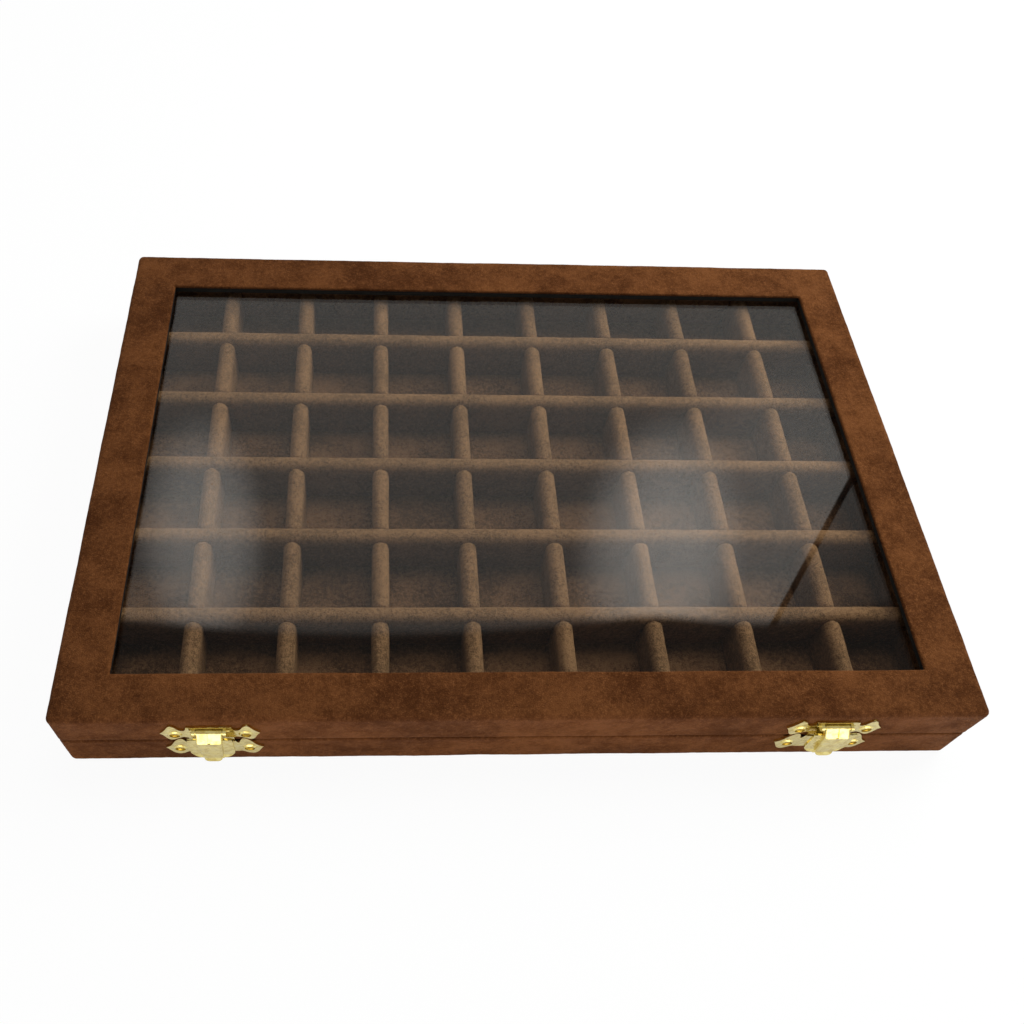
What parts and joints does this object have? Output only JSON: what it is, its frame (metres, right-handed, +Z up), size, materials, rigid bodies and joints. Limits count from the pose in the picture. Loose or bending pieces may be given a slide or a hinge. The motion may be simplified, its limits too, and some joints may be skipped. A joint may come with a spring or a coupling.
{
  "type": "jewelry display case",
  "caption": "Shallow velvet-covered display case with a grid of open cells for jewelry under a hinged lid with a glass window and front latches.",
  "frame": {"origin": "middle of the flat felt underside that the case stands on", "axes": "+X to the right along the long side, +Y to the hinged back, +Z up; the latches are on the -Y face"},
  "size_m": [0.35, 0.2502, 0.04],
  "materials": {
    "velvet_outer": "short brown velvet pile with a mottled nap",
    "velvet_lining": "short brown velvet pile over stiff board",
    "board": "raw fibreboard, stained black where an edge shows",
    "black_card": "matte black card",
    "glass": "clear polished float glass",
    "brass": "bright pale yellow plated pressed sheet",
    "felt": "dark brown felt",
    "foam": "open foam sheet"
  },
  "bodies": {
    "base": {"base_velvet": "velvet_outer", "base_wall_back": "board", "base_wall_front": "board", "base_wall_left": "board", "base_wall_right": "board", "bottom_board": "board", "bottom_sheet": "felt", "catch_plate_left": "brass", "catch_plate_nails": "brass", "catch_plate_right": "brass", "collar_back": "velvet_lining", "collar_front": "velvet_lining", "collar_left": "velvet_lining", "collar_right": "velvet_lining", "cross_divider_1": "velvet_lining", "cross_divider_2": "velvet_lining", "cross_divider_3": "velvet_lining", "cross_divider_4": "velvet_lining", "cross_divider_5": "velvet_lining", "cross_divider_6": "velvet_lining", "cross_divider_7": "velvet_lining", "cross_divider_8": "velvet_lining", "floor_foam": "foam", "floor_lining": "velvet_lining", "hinge_base_leaf_left": "brass", "hinge_base_leaf_right": "brass", "hinge_base_nails": "brass", "hinge_pin_left": "brass", "hinge_pin_right": "brass", "long_divider_1": "velvet_lining", "long_divider_2": "velvet_lining", "long_divider_3": "velvet_lining", "long_divider_4": "velvet_lining", "long_divider_5": "velvet_lining"},
    "lid": {"glass_pane": "glass", "glass_retainer_back": "black_card", "glass_retainer_front": "black_card", "glass_retainer_left": "black_card", "glass_retainer_right": "black_card", "hinge_lid_leaf_left": "brass", "hinge_lid_leaf_right": "brass", "hinge_lid_nails": "brass", "latch_pin_left": "brass", "latch_pin_right": "brass", "latch_plate_left": "brass", "latch_plate_nails": "brass", "latch_plate_right": "brass", "lid_ring_back": "board", "lid_ring_front": "board", "lid_ring_left": "board", "lid_ring_right": "board", "lid_velvet": "velvet_outer", "lid_wall_back": "board", "lid_wall_front": "board", "lid_wall_left": "board", "lid_wall_right": "board"},
    "tongue_left": {"latch_tongue_left": "brass"},
    "tongue_right": {"latch_tongue_right": "brass"}
  },
  "joints": [
    {"name": "lid_hinge", "type": "hinge", "parent": "base", "child": "lid", "pos_m": [0, 0.1221, 0.02], "axis": [-1, 0, 0], "range_deg": [0, 180]},
    {"name": "latch_left", "type": "hinge", "parent": "lid", "child": "tongue_left", "pos_m": [-0.1173, -0.1216, 0.0325], "axis": [-1, 0, 0], "range_deg": [-5, 100]},
    {"name": "latch_right", "type": "hinge", "parent": "lid", "child": "tongue_right", "pos_m": [0.1173, -0.1216, 0.0325], "axis": [-1, 0, 0], "range_deg": [-5, 100]}
  ]
}
